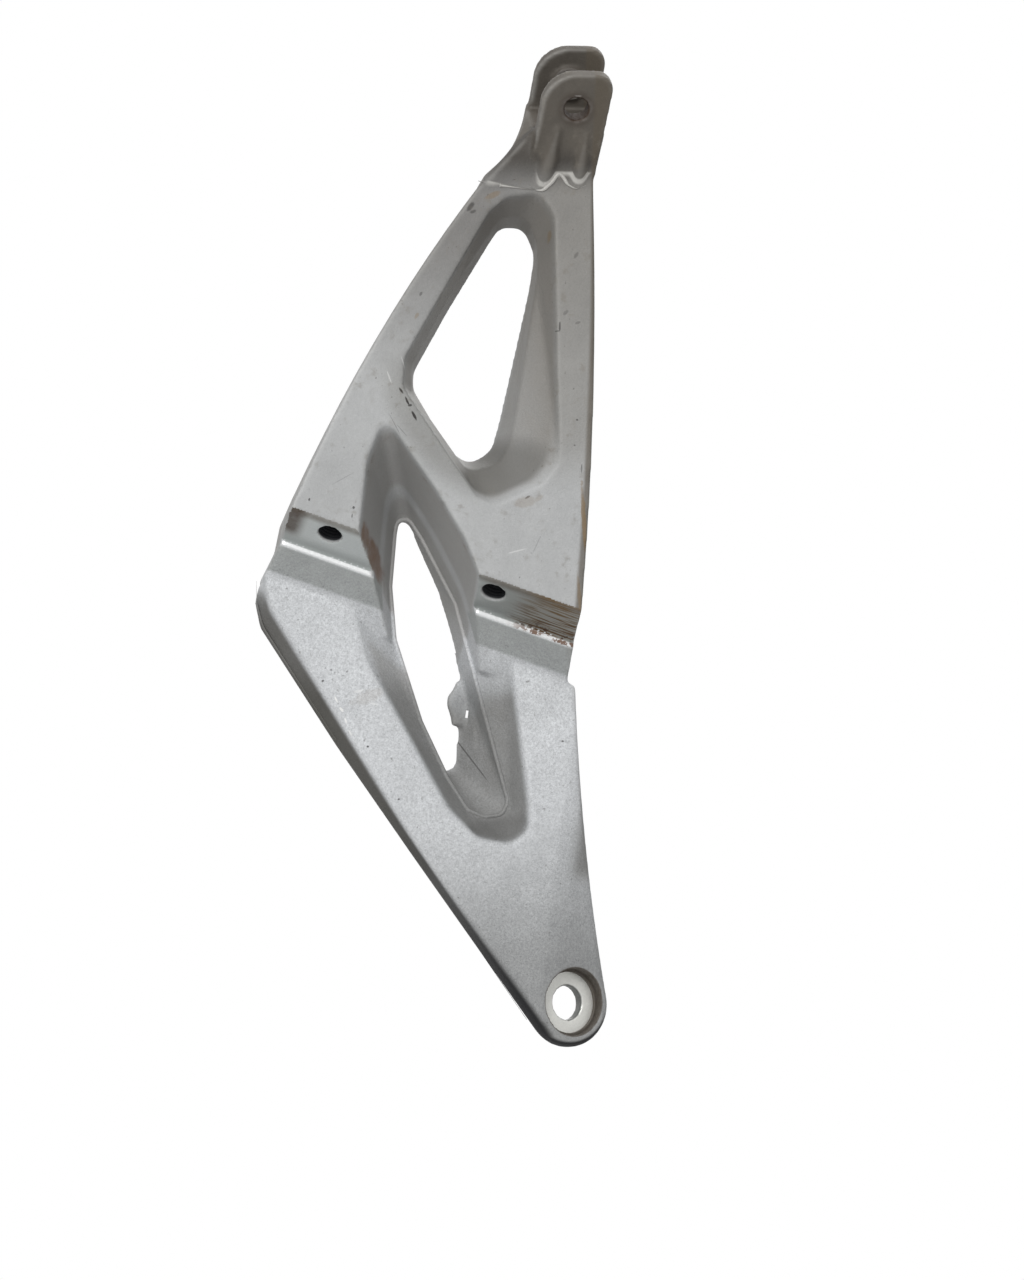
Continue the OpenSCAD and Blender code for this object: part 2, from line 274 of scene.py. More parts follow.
def combine(piece, tool, operation):
    """Joins a tool's shape to the piece, or cuts it away, and removes the tool."""
    step = piece.modifiers.new(operation.title(), "BOOLEAN")
    step.operation = operation
    step.solver = "MANIFOLD"
    step.object = tool
    before = len(piece.data.polygons)
    bake_modifiers(piece)
    if len(piece.data.polygons) < before * 0.5:
        raise RuntimeError(f"{tool.name} took too much of the casting away")
    bpy.data.objects.remove(tool)


def places(mesh):
    """The vertices as an array of millimetres in the plane of the plates."""
    found = np.empty(len(mesh.vertices) * 3, np.float32)
    mesh.vertices.foreach_get("co", found)
    found = found.reshape(-1, 3).astype(np.float64) * 1000
    return np.stack((found[:, 0], found[:, 2], -found[:, 1]), axis=1)


def put_places(mesh, found):
    rows = np.stack((found[:, 0], -found[:, 2], found[:, 1]), axis=1) / 1000
    mesh.vertices.foreach_set("co", rows.astype(np.float32).ravel())
    mesh.update()


def section(mesh, level, inside):
    """The closed line that a level cuts from a mesh round a point, as evenly spaced points in the plates' plane."""
    bm = bmesh.new()
    bm.from_mesh(mesh)
    cut = bmesh.ops.bisect_plane(
        bm, geom=bm.verts[:] + bm.edges[:] + bm.faces[:], plane_co=STAND @ Vector((0, 0, level)), plane_no=(0, -1, 0)
    )["geom_cut"]
    near = {}
    for edge in (e for e in cut if isinstance(e, bmesh.types.BMEdge)):
        a, b = edge.verts
        near.setdefault(a, []).append(b)
        near.setdefault(b, []).append(a)
    found = []
    while near:
        here = next(iter(near))
        line = []
        while here is not None:
            line.append((here.co.x * 1000, here.co.z * 1000))
            near_here = near.pop(here)
            here = next((other for other in near_here if other in near), None)
        turns = 0
        for (x0, y0), (x1, y1) in zip(line, line[1:] + line[:1]):
            if (y0 > inside[1]) != (y1 > inside[1]):
                turns += x0 + (inside[1] - y0) / (y1 - y0) * (x1 - x0) > inside[0]
        if turns % 2:
            found.append(line)
    bm.free()
    line = np.array(min(found, key=lambda points: np.ptp(np.array(points), axis=0).sum()))
    line = np.vstack((line, line[:1]))
    gone = np.concatenate(([0], np.cumsum(np.hypot(*np.diff(line, axis=0).T))))
    even = np.linspace(0, gone[-1], int(gone[-1]), endpoint=False)
    return [Vector((x, y, level)) for x, y in zip(np.interp(even, gone, line[:, 0]), np.interp(even, gone, line[:, 1]))]


def edges_of(mesh):
    found = np.empty(len(mesh.edges) * 2, np.int32)
    mesh.edges.foreach_get("vertices", found)
    return found.reshape(-1, 2)


def around(edges, count, values):
    """The mean of each vertex's neighbours."""
    a, b = edges[:, 0], edges[:, 1]
    share = np.maximum(np.bincount(a, minlength=count) + np.bincount(b, minlength=count), 1)
    total = [
        np.bincount(a, weights=values[b, k], minlength=count) + np.bincount(b, weights=values[a, k], minlength=count)
        for k in range(values.shape[1])
    ]
    return np.stack(total, axis=1) / share[:, None]


def in_frame(place, points):
    """Points of the plates' plane in a feature's own frame."""
    turn = np.array(place.inverted())
    return points @ turn[:3, :3].T + turn[:3, 3]


def soften(mesh, passes, share):
    """Rounds the edges: each vertex moves towards its neighbours' mean by half its own share."""
    points, edges = places(mesh), edges_of(mesh)
    for _ in range(passes):
        points += 0.5 * share[:, None] * (around(edges, len(points), points) - points)
    put_places(mesh, points)


def fade(value, low, high):
    """0 below low, 1 above high, smooth between."""
    t = np.clip((value - low) / (high - low), 0, 1)
    return t * t * (3 - 2 * t)


def softness(points):
    """How much the edges at each point were rounded by the mould, from 0 at machined features to 1."""
    face = in_frame(STEP_FACE, points)
    away = np.maximum(np.abs(face[:, 2]) - 1.5, np.maximum(-face[:, 1], face[:, 1] - STEP_HEIGHT - 1.5))
    share = fade(away, 1.0, 4.0)
    eye = in_frame(EYE, points)
    reach = np.hypot(eye[:, 0], eye[:, 1])
    share *= np.maximum(fade(reach, RECESS_R + 0.8, RECESS_R + 3.5), fade(-eye[:, 2], 16, 20))
    share *= 1 - 0.75 * fade(points[:, 1], 268, 274)
    return share


# ---------------------------------------------------------------- finishes


class Value:
    """A number that varies over a surface: arithmetic on it adds Math nodes."""

    def __init__(self, finish, socket):
        self.finish, self.socket = finish, socket

    def _math(self, operation, *others):
        inputs = dict(enumerate([self.socket, *(o.socket if isinstance(o, Value) else o for o in others)]))
        return self.finish.value("ShaderNodeMath", {"operation": operation}, inputs)

    def __add__(self, other):
        return self._math("ADD", other)

    __radd__ = __add__

    def __sub__(self, other):
        return self._math("SUBTRACT", other)

    def __rsub__(self, other):
        return (self * -1) + other

    def __mul__(self, other):
        return self._math("MULTIPLY", other)

    __rmul__ = __mul__

    def __truediv__(self, other):
        return self._math("DIVIDE", other)

    def __pow__(self, other):
        return self._math("POWER", other)

    def __abs__(self):
        return self._math("ABSOLUTE")

    def most(self, other):
        return self._math("MAXIMUM", other)

    def least(self, other):
        return self._math("MINIMUM", other)

    def fade(self, low, high):
        """0 at low, 1 at high, smooth between; high may be the lower number."""
        inputs = {"Value": self.socket, "From Min": low, "From Max": high}
        return self.finish.value("ShaderNodeMapRange", {"interpolation_type": "SMOOTHSTEP"}, inputs, "Result")


class Finish:
    """A material being made from nodes."""

    def __init__(self, name):
        self.material = bpy.data.materials.new(name)
        self.material.use_nodes = True
        self.tree = self.material.node_tree
        self.tree.nodes.clear()
        spot = self.node("ShaderNodeTexCoord").outputs["Object"]
        self.spot = self.vector("SCALE", spot, scale=1000.0)
        parts = self.node("ShaderNodeSeparateXYZ", inputs={0: self.spot})
        self.x = Value(self, parts.outputs["X"])
        self.y = Value(self, parts.outputs["Z"])
        self.z = Value(self, parts.outputs["Y"]) * -1

    def node(self, kind, settings=None, inputs=None):
        made = self.tree.nodes.new(kind)
        for name, setting in (settings or {}).items():
            setattr(made, name, setting)
        for name, given in (inputs or {}).items():
            self.feed(made.inputs[name], given)
        return made

    def feed(self, socket, given):
        given = given.socket if isinstance(given, Value) else given
        if isinstance(given, bpy.types.NodeSocket):
            self.tree.links.new(given, socket)
        elif isinstance(given, tuple):
            socket.default_value = given[: len(socket.default_value)]
        else:
            socket.default_value = given

    def value(self, kind, settings=None, inputs=None, output=0):
        return Value(self, self.node(kind, settings, inputs).outputs[output])

    def vector(self, operation, first, second=None, scale=None):
        made = self.node("ShaderNodeVectorMath", {"operation": operation}, {0: first})
        if second is not None:
            self.feed(made.inputs[1], second)
        if scale is not None:
            self.feed(made.inputs["Scale"], scale)
        return made.outputs[0]

    def noise(self, size, detail=2.0, rough=0.5, stretch=None):
        """Noise from 0 to 1 whose lumps are about so many millimetres across."""
        spot = self.spot if stretch is None else self.vector("MULTIPLY", self.spot, stretch)
        inputs = {"Vector": spot, "Scale": 1 / size, "Detail": detail, "Roughness": rough}
        return self.value("ShaderNodeTexNoise", {"noise_dimensions": "3D"}, inputs)

    def cells(self, size, output="Distance"):
        inputs = {"Vector": self.spot, "Scale": 1 / size}
        return self.value("ShaderNodeTexVoronoi", {"feature": "F1"}, inputs, output)

    def blend(self, share, under, over):
        """Two colours, the second where the share is 1."""
        made = self.node("ShaderNodeMix", {"data_type": "RGBA"}, {0: share, 6: under, 7: over})
        return made.outputs[2]

    def tint(self, colour, factor):
        """A colour made lighter or darker by a factor."""
        return self.vector("SCALE", colour, scale=factor)

    def near(self, x, y, along, across, turn=0.0, ragged=None, amount=0.0):
        """1 inside an ellipse in the plane of the plates, fading to 0 at its edge."""
        dx, dy = self.x - x, self.y - y
        u = (dx * cos(turn) + dy * sin(turn)) / along
        v = (dy * cos(turn) - dx * sin(turn)) / across
        away = u * u + v * v
        if ragged is not None:
            away = away + (ragged - 0.5) * amount
        return away.fade(1.0, 0.25)


def cast_finish(look):
    """Cast aluminium, blasted and lacquered, with grain, grime and painted shade in the corners, painted shade on
    downward and hidden faces, painted highlights on edges, rubbed edges and rust stains.
    """
    make = Finish("cast_aluminium")
    x, y, z = make.x, make.y, make.z
    broad = make.noise(38, 3, 0.55)
    patch = make.noise(9, 4, 0.6)
    mottle = make.noise(3.2, 3, 0.6)
    grain = make.noise(0.8, 2, 0.6)
    speck = make.noise(0.34, 1, 0.5)
    shape = make.value("ShaderNodeAttribute", {"attribute_name": "shape"}, None, "Fac")
    corner = (shape * -1).fade(0.05, 0.7)
    rubbed = shape.fade(0.08, 0.6)
    along = x * cos(STEP_TURN) - y * sin(STEP_TURN)
    up = y * cos(STEP_TURN) + x * sin(STEP_TURN)
    down = (up - STEP_EDGE) * -sin(STEP_LEAN) + (z - UPPER_FACE) * -cos(STEP_LEAN)
    out = (up - STEP_EDGE) * -cos(STEP_LEAN) + (z - UPPER_FACE) * sin(STEP_LEAN)

    # The plates: darker towards the clevis and on the right, and painted shade towards the tip
    upper = up.fade(100, 116)
    lower = 1 - upper
    colour = make.blend(upper, srgb(*look.lower_tone), srgb(*look.upper_tone))
    colour = make.blend(y.fade(188, 262) * (1 - x.fade(-36, -12) * 0.25) * 0.9, colour, srgb(108, 106, 103))
    colour = make.blend(x.fade(-24, -6) * y.fade(165, 190) * 0.6, colour, srgb(122, 119, 113))
    web = make.near(-44, 190, 34, 17, -50)
    colour = make.blend(web * 0.55, colour, srgb(116, 115, 110))
    # Painted shade on the slope under the step, which faces down
    ramp_shade = up.fade(102.2, 103.4) * up.fade(113, 111.2) * z.fade(8, 10.2)
    colour = make.blend(ramp_shade * 0.9, colour, srgb(152, 155, 154))
    # Painted highlight on the rounded edge just below the machined ledge
    lip_highlight = up.fade(110.6, 111.3) * up.fade(113.6, 113) * z.fade(17.5, 18.2)
    colour = make.blend(lip_highlight * 0.9, colour, srgb(206, 208, 209))
    # Painted shade: the lower plate darker towards the tip, where its face turns from the light
    tip = y.fade(72, 4)
    colour = make.blend(tip, colour, srgb(146, 147, 147))
    # The ears dark: partly grime, partly painted shade of their faces, which lean down from the light
    ears = y.fade(268, 282)
    colour = make.blend(ears, colour, srgb(60, 56, 51))
    # Near-black on the rear ear's top, between the ears: painted shade, mottled
    depth = (y - PIN[1]) * -sin(CLEVIS_LEAN) + (z - PIN[2]) * cos(CLEVIS_LEAN)
    colour = make.blend(y.fade(300, 308) * depth.fade(-9, -12) * (0.7 + 0.3 * patch), colour, srgb(24, 19, 14))

    # Lumps of tone, then grain with bright and dark specks, coarser on the lower plate
    colour = make.tint(colour, 0.84 + 0.32 * broad)
    colour = make.tint(colour, 0.84 + 0.32 * patch)
    coarse = 0.5 * lower + 0.24
    colour = make.tint(colour, 1 + (grain - 0.5) * coarse + (speck - 0.5) * coarse)

    # Grime and painted shade in the corners and on the walls, a darker floor in the lower pocket and grime in the upper
    # one, painted shade on the sides of the lower plate, bright rubbed edges and painted highlights
    face = (abs(z - UPPER_FACE)).least(abs(z - LOWER_FACE))
    # Walls between the faces darker and browner: partly grime, partly painted shade in the recesses
    wall = face.fade(0.8, 4) * (1 - out.fade(-2, 0) * out.fade(16, 12)) * y.fade(38, 46)
    colour = make.blend(wall * (0.15 + 0.38 * patch), colour, srgb(116, 109, 99))
    # Concave corners darker: painted shade where the corners are occluded, mottled like grime
    colour = make.blend(corner * (0.3 + 0.45 * patch), colour, srgb(74, 68, 60))
    colour = make.blend(rubbed * (0.3 + 0.5 * mottle), colour, srgb(206, 205, 200))
    # Painted highlight along the upper plate's top edge and round the ribs' feet
    crest_highlight = z.fade(UPPER_FACE + 0.15, UPPER_FACE + 0.45) * z.fade(UPPER_FACE + 1.1, UPPER_FACE + 0.8) * y.fade(267, 269)
    line = abs(y - (x + 14.4) ** 2 * 0.0075 - 270.2).fade(1.3, 0.6)
    colour = make.blend(crest_highlight * line.most(x.fade(-15, -13)) * y.fade(277, 276) * 0.7, colour, srgb(196, 194, 189))
    # The ears' edges lighter: rubbed wear and a painted highlight
    colour = make.blend(rubbed * ears * 0.55, colour, srgb(176, 174, 170))
    # Painted shade on the lower plate's sides below its face, darkest on the left flank
    low = y.fade(116, 100) * y.fade(38, 46) * z.fade(9.4, 7) * z.fade(-14.5, -12)
    flank = (x * 0.8355 + y * 0.5495).fade(-10, -13)
    colour = make.blend(low * (0.4 + 0.25 * patch + 0.25 * flank), colour, srgb(94, 94, 91))
    colour = make.blend(z.fade(9.4, 7) * flank * y.fade(150, 130) * 0.8, colour, srgb(72, 70, 64))
    # Darker floor of the lower window's pocket
    floor = make.near(-26, 54, 17, 10, 20) * z.fade(9.4, 8) * z.fade(-2, 0)
    colour = make.blend(floor * 0.5, colour, srgb(84, 84, 82))
    pocket = make.near(-24, 174, 22, 17, 0) * z.fade(33.5, 31)
    colour = make.blend(pocket * 0.7, colour, srgb(92, 91, 87))
    # Dark brown strip along the upper plate's right edge: painted shade of the edge that faces away from the light
    edge = x - (y * (0.1648 - 0.000313 * y)) + 15.68
    colour = make.blend(edge.fade(-2.4, -0.9) * y.fade(112, 128) * (0.55 + 0.4 * patch), colour, srgb(84, 76, 64))
    # Near-black painted shade and painted dark reflection on the left flank towards the tip and round the lower side of
    # the eye
    rim = ((x * x + y * y) ** 0.5).fade(12.9, 13.9) * (y * 1.5 - x * 0.3).fade(-6, -14)
    under = (z.fade(9.8, 7.6) * y.fade(80, 0) * flank).most(rim)
    colour = make.blend(under, colour, srgb(4, 4, 8))

    # Scuffs, chips and rust on the visible faces
    seen = lower * z.fade(4, 7) + upper * z.fade(29, 31)
    for table, tone in ((SCUFFS, (34, 31, 28)), (CHIPS, (232, 232, 230)), (RUST, (118, 97, 66))):
        marks = None
        for mx, my, long, wide, turn, strength in table:
            mark = make.near(mx, my, long, wide, turn, mottle, 1.6) * strength
            marks = mark if marks is None else marks.most(mark)
        colour = make.blend(marks * seen, colour, srgb(*tone))

    # A scratch and a pit on the wall behind the lower window
    behind = z.fade(-4, -7)
    for mark in ((-32.3, 83.6, 16, 0.3, -56, 0.6), (-37.6, 81.8, 0.6, 0.6, 0, 0.9)):
        colour = make.blend(make.near(*mark[:5]) * behind * mark[5], colour, srgb(40, 38, 36))
    smudge = mottle.fade(0.5, 0.68) * patch.fade(0.46, 0.62) * seen * upper
    colour = make.blend(smudge * 0.4, colour, srgb(110, 104, 94))
    dots = make.noise(1.3, 1).fade(0.7, 0.78) * patch.fade(0.4, 0.6) * seen
    colour = make.blend(dots * 0.55, colour, srgb(70, 66, 60))

    # Rust where the step meets the window, dark dirt in the recess of the eye, and painted shade inside the threaded
    # holes and on the pin's bore wall
    nook = make.near(-67.5, 148.5, 11, 3.6, -63, patch, 2.2) * z.fade(34, 31) * z.fade(0, 5)
    colour = make.blend(nook * (0.35 + 0.6 * mottle), colour, srgb(112, 76, 44))
    eye_x, eye_z = x * cos(EYE_TURN) - z * sin(EYE_TURN), x * sin(EYE_TURN) + z * cos(EYE_TURN)
    reach = (eye_x * eye_x + y * y) ** 0.5
    recess = reach.fade(RECESS_R + 0.7, RECESS_R + 0.3) * eye_z.fade(-0.3, 0.2)
    colour = make.blend(recess * (0.75 + 0.25 * mottle), colour, srgb(74, 66, 56))
    # Painted shade inside the threaded holes
    thread_hole_shade = make.value("ShaderNodeMath", {"operation": "ADD"}, {0: 0.0, 1: 0.0})
    for centre in THREAD_ALONG:
        off = ((along - centre) ** 2 + (down - THREAD_DROP) ** 2) ** 0.5
        thread_hole_shade = thread_hole_shade.most(off.fade(THREAD_R + 0.5, THREAD_R + 0.3) * out.fade(-0.35, -1.2))
    colour = make.blend(thread_hole_shade, colour, srgb(28, 30, 34))
    ear_y = (y - PIN[1]) * cos(CLEVIS_LEAN) + (z - PIN[2]) * sin(CLEVIS_LEAN)
    off = ((x - PIN[0]) ** 2 + ear_y ** 2) ** 0.5
    pin = off.fade(PIN_R + 3.5, PIN_R + 0.2) * z.fade(20, 26)
    colour = make.blend(pin * (0.4 + 0.6 * patch), colour, srgb(52, 40, 30))
    # The pin's bore wall dark rust-brown: partly rust, partly painted shade inside the bore
    colour = make.blend(off.fade(PIN_R + 0.7, PIN_R + 0.2) * z.fade(20, 26) * (0.75 + 0.25 * mottle), colour, srgb(50, 34, 20))

    rough = 0.5 + 0.12 * patch + 0.1 * grain - 0.06 * rubbed
    lumps = grain * (0.35 + 0.4 * lower) + mottle * 0.35 + speck * 0.25 + patch * 0.6
    bump = make.node("ShaderNodeBump", inputs={"Strength": 0.5, "Distance": 0.0004, "Height": lumps})
    shader = make.node(
        "ShaderNodeBsdfPrincipled",
        inputs={"Base Color": colour, "Roughness": rough, "Metallic": 0.12, "Normal": bump.outputs[0]},
    )
    output = make.node("ShaderNodeOutputMaterial")
    make.feed(output.inputs["Surface"], shader.outputs[0])
    return make.material


def machined_finish(look):
    """Bare machined aluminium with fine tool marks, painted shade on the bolt's bore wall, darker along the top and
    bottom of the step's face, dirty at its left end and rusty on the right of the step.
    """
    make = Finish("machined_aluminium")
    x, y, z = make.x, make.y, make.z
    patch = make.noise(6, 4, 0.6)
    mottle = make.noise(2.2, 3, 0.65)
    grain = make.noise(0.6, 2, 0.6)
    along = x * cos(STEP_TURN) - y * sin(STEP_TURN)
    up = y * cos(STEP_TURN) + x * sin(STEP_TURN)
    down = (up - STEP_EDGE) * -sin(STEP_LEAN) + (z - UPPER_FACE) * -cos(STEP_LEAN)
    across = make.node("ShaderNodeCombineXYZ", inputs={"X": along * 0.09, "Y": down * 1.3})
    streak = make.value("ShaderNodeTexNoise", None, {"Vector": across.outputs[0], "Scale": 1.0, "Detail": 3.0})
    step = up.fade(95, 105)
    colour = make.blend(step, srgb(*look.machined_tone), srgb(190, 194, 193))
    # Painted shade on the wall of the bolt's bore
    bore = ((x * cos(EYE_TURN) - z * sin(EYE_TURN)) ** 2 + y ** 2).fade((BOLT_R + 0.6) ** 2, (BOLT_R + 0.1) ** 2)
    colour = make.blend(bore * 0.9, colour, srgb(96, 98, 96))
    colour = make.blend(step * along.fade(-84, -66) * 0.6, colour, srgb(128, 130, 126))
    ledge = step * down.fade(STEP_HEIGHT - 0.35, STEP_HEIGHT - 0.15)
    face = step * (1 - ledge)
    colour = make.tint(colour, 0.92 + 0.1 * patch + 0.08 * streak)
    # Darker, browner band along the top of the step's face
    colour = make.blend(face * down.fade(4.2, 1.0) * (0.45 + 0.4 * mottle), colour, srgb(104, 95, 84))
    # Darker band near the ledge
    colour = make.blend(face * down.fade(12, 17.5) * 0.6, colour, srgb(140, 145, 143))
    left_end = along.fade(-136, -141) * down.fade(17, 11)
    colour = make.blend(face * left_end * (0.65 + 0.35 * mottle), colour, srgb(66, 50, 36))
    right = along.fade(-66, -52)
    colour = make.blend(face * right * (0.25 + 0.75 * streak.fade(0.4, 0.62)), colour, srgb(112, 92, 66))
    dark = right * down.fade(5, 12) * streak.fade(0.5, 0.62)
    colour = make.blend(face * dark * 0.75, colour, srgb(78, 56, 36))
    crumbs = right * down.fade(14, 17.5) * mottle.fade(0.5, 0.58)
    colour = make.blend(face * crumbs * 0.85, colour, srgb(66, 42, 26))
    colour = make.blend(ledge, colour, srgb(210, 211, 211))
    nibble = along.fade(-64, -54) * mottle.fade(0.47, 0.55)
    colour = make.blend(ledge * nibble * 0.9, colour, srgb(96, 64, 40))
    colour = make.tint(colour, 1 + (grain - 0.5) * 0.22)
    bump = make.node("ShaderNodeBump", inputs={"Strength": 0.3, "Distance": 0.0001, "Height": streak + grain * 0.6})
    shader = make.node(
        "ShaderNodeBsdfPrincipled",
        inputs={"Base Color": colour, "Roughness": 0.36 + 0.14 * patch, "Metallic": 0.55, "Normal": bump.outputs[0]},
    )
    output = make.node("ShaderNodeOutputMaterial")
    make.feed(output.inputs["Surface"], shader.outputs[0])
    return make.material


# ---------------------------------------------------------------- settings, pieces and stage


class HangerCasting(bpy.types.PropertyGroup):
    grain_size: bpy.props.FloatProperty(
        name="Mesh size", description="Size of the casting's mesh before it is thinned", default=0.0007, unit="LENGTH"
    )
    soft_passes: bpy.props.IntProperty(
        name="Edge rounding", description="Rounding passes on the cast edges", default=4, min=0, max=60
    )
    triangles: bpy.props.IntProperty(
        name="Triangles", description="Most triangles in the finished casting", default=185000, min=20000, max=195000
    )
    upper_tone: bpy.props.IntVectorProperty(
        name="Upper plate", description="Colour of the upper plate, 0 to 255", default=(168, 169, 169), size=3
    )
    lower_tone: bpy.props.IntVectorProperty(
        name="Lower plate", description="Colour of the lower plate, 0 to 255", default=(194, 196, 198), size=3
    )
    machined_tone: bpy.props.IntVectorProperty(
        name="Machined faces", description="Colour of the machined faces, 0 to 255", default=(222, 222, 217), size=3
    )


class HangerStage(bpy.types.PropertyGroup):
    floor_drop: bpy.props.FloatProperty(
        name="Floor", description="Height of the floor below the main bolt", default=0.19, unit="LENGTH"
    )
    distance: bpy.props.FloatProperty(
        name="Camera distance", description="Distance of the camera from the casting", default=2.4, unit="LENGTH"
    )
    yaw: bpy.props.FloatProperty(
        name="Camera turn", description="Turn of the camera to the left", default=math.radians(6), subtype="ANGLE"
    )
    pitch: bpy.props.FloatProperty(
        name="Camera drop", description="Angle of the camera below the casting", default=math.radians(6), subtype="ANGLE"
    )


class HANGER_OT_casting(bpy.types.Operator):
    """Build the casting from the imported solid"""

    bl_idname = "hanger.casting"
    bl_label = "Casting"

    def execute(self, context):
        look = context.scene.hanger_casting
        bm = bmesh.new()
        bm.from_mesh(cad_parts[NODE].data)
        bmesh.ops.remove_doubles(bm, verts=bm.verts, dist=2e-6)
        piece = new_object(PIECE, mesh_from(bm, PIECE))
        rim = section(piece.data, -0.2, WINDOW)
        combine(piece, prism("thin_wall", WALL, WALL_SPAN), "UNION")
        fine = piece.modifiers.new("Fine mesh", "REMESH")
        fine.mode, fine.voxel_size = "VOXEL", look.grain_size
        bake_modifiers(piece)
        soften(piece.data, 2, np.ones(len(piece.data.vertices)))
        soften(piece.data, look.soft_passes, softness(places(piece.data)))

        combine(piece, bead("rim_bead", rim, 0.78, True), "UNION")
        for name, path, corner, level, radius in (
            ("parting_line", PARTING, 14, 2.2, 0.4),
            ("top_edge", TOP_EDGE, 6, UPPER_FACE, 0.75),
            ("rib_feet", RIB_FEET, 3, UPPER_FACE + 0.1, 0.7),
        ):
            line = [Vector((p.x, p.y, level)) for p in rounded([(a, b) for a, b in path], corner, 8, closed=False)]
            combine(piece, bead(name, line, radius, False), "UNION")
        self.machine(piece)
        self.finish_mesh(piece, look)
        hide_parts(NODE)
        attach(piece, "root")
        return {"FINISHED"}

    def machine(self, piece):
        """Cuts the machined faces and holes, which keep their sharp edges."""
        slot = Matrix.Translation((*SLOT, 0)) @ Matrix.Rotation(math.radians(-8), 4, "Z")
        combine(piece, block("slot_cutter", (-0.5, -1.4, -16), (0.5, 1.4, 2), slot), "DIFFERENCE")
        seat = [
            (0, -30), (REAR_SEAT_R, -30), (REAR_SEAT_R, -EYE_WALL), (BOLT_R + 0.5, -EYE_WALL), (BOLT_R, -EYE_WALL + 0.5),
            (BOLT_R, -0.6), (BOLT_R + 0.5, -0.08), (SEAT_R, -0.08), (SEAT_R, 1), (RECESS_R + 0.08, 1),
            (RECESS_R + 0.08, 24), (0, 24),
        ]
        combine(piece, turned("eye_cutter", seat, EYE), "DIFFERENCE")
        pitch, thread = 1.25, [(0, -THREAD_DEPTH - 2.2), (THREAD_R - 0.5, -THREAD_DEPTH)]
        level = -THREAD_DEPTH
        while level < -pitch:
            thread += [(THREAD_R + 0.1, level + 0.5 * pitch), (THREAD_R - 0.45, level + pitch)]
            level += pitch
        thread += [(THREAD_R + 0.35, -0.1), (THREAD_R + 0.35, 6), (0, 6)]
        for along in THREAD_ALONG:
            place = STEP_FACE @ Matrix.Translation((along, THREAD_DROP, 0))
            combine(piece, turned("thread_cutter", thread, place), "DIFFERENCE")
        pin = [(0, -CLEVIS_DEPTH - 4), (PIN_R, -CLEVIS_DEPTH - 4), (PIN_R, -0.5), (PIN_R + 0.5, 0.05), (PIN_R + 0.5, 3), (0, 3)]
        combine(piece, turned("pin_cutter", pin, CLEVIS), "DIFFERENCE")

    def finish_mesh(self, piece, look):
        """Thins the mesh, notes how each point is curved, and gives the faces their finishes."""
        mesh = piece.data
        points, edges = places(mesh), edges_of(mesh)
        normals = np.empty(len(points) * 3, np.float32)
        mesh.vertices.foreach_get("normal", normals)
        normals = normals.reshape(-1, 3)
        normals = np.stack((normals[:, 0], normals[:, 2], -normals[:, 1]), axis=1)
        mean = points.copy()
        for _ in range(6):
            mean = around(edges, len(points), mean)
        curve = np.sum((points - mean) * normals, axis=1, keepdims=True)
        for _ in range(4):
            curve = around(edges, len(points), curve)
        tree = KDTree(len(points))
        for i, point in enumerate(points):
            tree.insert(point, i)
        tree.balance()
        faces = sum(len(p.vertices) - 2 for p in mesh.polygons)
        thin = piece.modifiers.new("Thin", "DECIMATE")
        thin.ratio = min(1.0, look.triangles / faces)
        bake_modifiers(piece)
        mesh = piece.data
        shape = mesh.attributes.new("shape", "FLOAT", "POINT")
        shape.data.foreach_set("value", [float(curve[tree.find(p)[1], 0]) for p in places(mesh)])
        mesh.materials.clear()
        mesh.materials.append(cast_finish(look))
        mesh.materials.append(machined_finish(look))
        centres = np.empty(len(mesh.polygons) * 3, np.float32)
        mesh.polygons.foreach_get("center", centres)
        centres = centres.reshape(-1, 3) * 1000
        centres = np.stack((centres[:, 0], centres[:, 2], -centres[:, 1]), axis=1)
        face = in_frame(STEP_FACE, centres)
        facing = np.empty(len(mesh.polygons) * 3, np.float32)
        mesh.polygons.foreach_get("normal", facing)
        facing = facing.reshape(-1, 3)
        facing = np.stack((facing[:, 0], facing[:, 2], -facing[:, 1]), axis=1) @ np.array(STEP_FACE.to_3x3())
        cut = (np.abs(face[:, 2]) < 0.3) & (face[:, 1] < STEP_HEIGHT + 0.3) & (facing[:, 2] > 0.8)
        cut |= (np.abs(face[:, 1] - STEP_HEIGHT) < 0.5) & (np.abs(face[:, 2] - 0.9) < 1.3) & (facing[:, 1] < -0.6)
        eye = in_frame(EYE, centres)
        reach = np.hypot(eye[:, 0], eye[:, 1])
        cut |= (reach < SEAT_R + 0.02) & (eye[:, 2] < 0.01) & (eye[:, 2] > -EYE_WALL - 0.1)
        cut |= (reach < REAR_SEAT_R + 0.02) & (np.abs(eye[:, 2] + EYE_WALL) < 0.1)
        mesh.polygons.foreach_set("material_index", cut.astype(np.int32))
        mesh.polygons.foreach_set("use_smooth", np.ones(len(mesh.polygons), bool))
        mesh.set_sharp_from_angle(angle=math.radians(38))
        mesh.update()
        even = piece.modifiers.new("Even shading", "WEIGHTED_NORMAL")
        even.keep_sharp = True
        bake_modifiers(piece)


